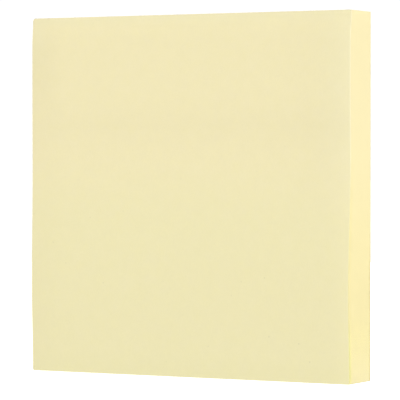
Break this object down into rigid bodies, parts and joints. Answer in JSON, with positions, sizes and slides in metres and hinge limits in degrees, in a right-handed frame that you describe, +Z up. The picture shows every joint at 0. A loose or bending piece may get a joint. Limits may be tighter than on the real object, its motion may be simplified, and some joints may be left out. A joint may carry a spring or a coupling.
{
  "type": "sticky note pad",
  "caption": "Square pad of pale yellow sticky notes on a backing sheet, standing on its lower edge, with a belly in its loose lower half and the top note's foot lifting a little.",
  "frame": {"origin": "middle of the foot, on the surface that the pad stands on, halfway through its depth", "axes": "+X along the width, to the right as the writing side is read; -Y the way the writing side faces and +Y out of the backing sheet; +Z up, towards the adhesive band"},
  "size_m": [0.076, 0.0106, 0.076],
  "materials": {
    "note_paper": "uncoated, pale yellow, matt, cut edges",
    "backing_paper": "smooth liner, deeper yellow, slight sheen"
  },
  "bodies": {
    "root": {"top_note": "note_paper", "note_block": "note_paper", "backing_sheet": "backing_paper"}
  },
  "joints": []
}
